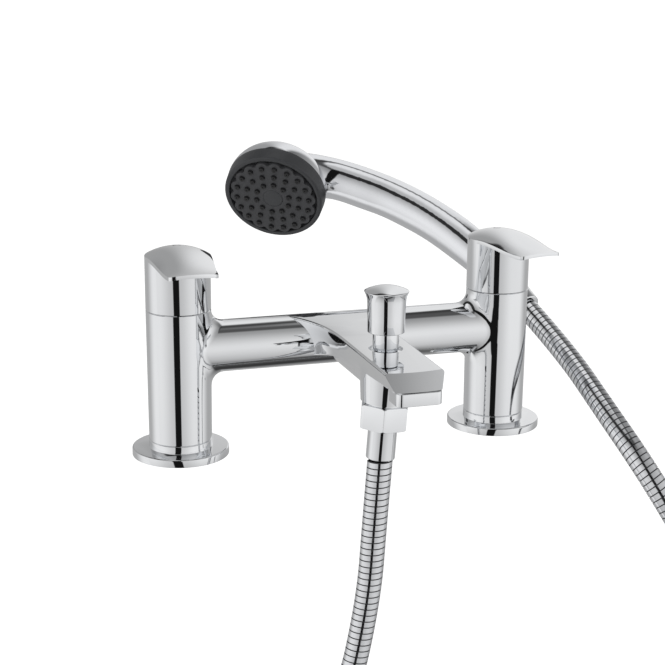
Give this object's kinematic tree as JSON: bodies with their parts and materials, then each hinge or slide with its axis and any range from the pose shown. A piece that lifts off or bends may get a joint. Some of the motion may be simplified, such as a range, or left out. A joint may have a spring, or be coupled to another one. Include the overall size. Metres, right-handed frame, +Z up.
{
  "type": "bath shower mixer",
  "caption": "Deck-mounted bath shower mixer with lever handles, a spout, a lift-up diverter, and a ribbed hose to a round handset resting in a cradle.",
  "frame": {"origin": "on the deck, midway between the two inlets", "axes": "+Z up, +X from the hot pillar to the cold pillar, the spout points along -Y"},
  "size_m": [0.3905, 0.3038, 0.5554],
  "materials": {
    "chrome_plated_brass": "polished chrome plate",
    "plated_plastic": "polished chrome plate on plastic",
    "hose_steel": "polished spiral-wound strip",
    "raw_brass": "machined",
    "black_rubber": "moulded",
    "disc_white": "ground flat",
    "bush_nylon": "moulded",
    "steel_screw": "plain",
    "face_grey": "fine moulded satin",
    "mat_rubber": "moulded matt",
    "hot_mark": "filled letter",
    "cold_mark": "filled letter"
  },
  "bodies": {
    "root": {"mixer_body": "chrome_plated_brass", "outlet_nozzle": "chrome_plated_brass", "flow_straightener": "bush_nylon", "diverter_seat": "raw_brass", "diverter_bonnet": "chrome_plated_brass", "bonnet_seal": "black_rubber", "outlet_washer": "black_rubber", "outlet_nut": "chrome_plated_brass", "outlet_ferrule": "chrome_plated_brass", "cradle": "chrome_plated_brass", "cradle_screw": "steel_screw", "cradle_arm": "chrome_plated_brass", "shower_hose": "hose_steel", "left_base_flange": "chrome_plated_brass", "left_base_seal": "black_rubber", "left_seat_seal": "black_rubber", "left_valve_body": "raw_brass", "left_fixed_disc": "disc_white", "right_base_flange": "chrome_plated_brass", "right_base_seal": "black_rubber", "right_seat_seal": "black_rubber", "right_valve_body": "raw_brass", "right_fixed_disc": "disc_white"},
    "left_lever": {"left_handle": "chrome_plated_brass", "left_temperature_mark": "hot_mark", "left_spline_bush": "bush_nylon", "left_grub_screw": "steel_screw", "left_spindle": "raw_brass", "left_stem_seal": "black_rubber", "left_moving_disc": "disc_white"},
    "right_lever": {"right_handle": "chrome_plated_brass", "right_temperature_mark": "cold_mark", "right_spline_bush": "bush_nylon", "right_grub_screw": "steel_screw", "right_spindle": "raw_brass", "right_stem_seal": "black_rubber", "right_moving_disc": "disc_white"},
    "diverter": {"diverter_knob": "chrome_plated_brass", "diverter_rod": "raw_brass", "diverter_disc": "raw_brass", "diverter_washers": "black_rubber"},
    "hose_end": {"hose_tail": "raw_brass"},
    "handset": {"handset_shell": "plated_plastic", "face_ring": "face_grey", "face_seal": "black_rubber", "spray_mat": "mat_rubber", "centre_disc": "face_grey", "water_plate": "bush_nylon", "handset_inlet": "bush_nylon", "end_washer": "black_rubber", "end_nut": "plated_plastic"}
  },
  "joints": [
    {"name": "left_lever_turn", "type": "hinge", "parent": "root", "child": "left_lever", "pos_m": [-0.09, 0, 0.079], "axis": [0, 0, 1], "range_deg": [-90, 0]},
    {"name": "right_lever_turn", "type": "hinge", "parent": "root", "child": "right_lever", "pos_m": [0.09, 0, 0.079], "axis": [0, 0, 1], "range_deg": [-12, 78]},
    {"name": "diverter_lift", "type": "slide", "parent": "root", "child": "diverter", "axis": [0, 0, 1], "range_m": [0, 0.008]},
    {"name": "handset_lift", "type": "slide", "parent": "root", "child": "hose_end", "axis": [-0.2467, 0.8449, 0.4746], "range_m": [0, 0.035]},
    {"name": "handset_swivel", "type": "hinge", "parent": "hose_end", "child": "handset", "pos_m": [0.12716, 0.0386, 0.05496], "axis": [0.2467, -0.8449, -0.4746], "range_deg": [-45, 45]}
  ]
}
